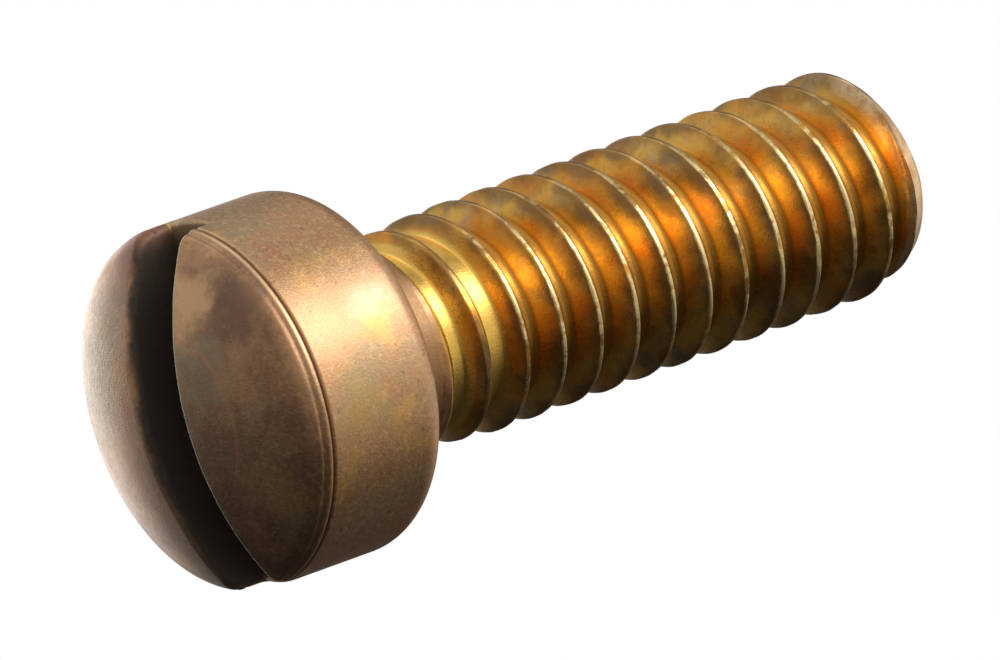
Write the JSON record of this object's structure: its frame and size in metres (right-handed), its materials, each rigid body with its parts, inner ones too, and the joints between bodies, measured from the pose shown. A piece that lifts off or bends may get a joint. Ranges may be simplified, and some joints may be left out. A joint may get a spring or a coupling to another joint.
{
  "type": "slotted machine screw",
  "caption": "Fillister-head machine screw: domed cylindrical head with a straight driver slot, short neck, right-hand V thread and chamfered flat end.",
  "frame": {"origin": "centre of the bearing face under the head, on the screw's axis", "axes": "+Z along the axis from the bearing face to the top of the head, so the shank points down -Z; +Y along the driver slot"},
  "size_m": [0.01, 0.01, 0.0245],
  "materials": {
    "head_metal": "bare, tarnished brown, satin",
    "thread_metal": "bare, golden, worn bright on the crests"
  },
  "bodies": {
    "root": {"head": "head_metal", "under_head": "head_metal", "threaded_shank": "thread_metal", "point": "thread_metal"}
  },
  "joints": []
}
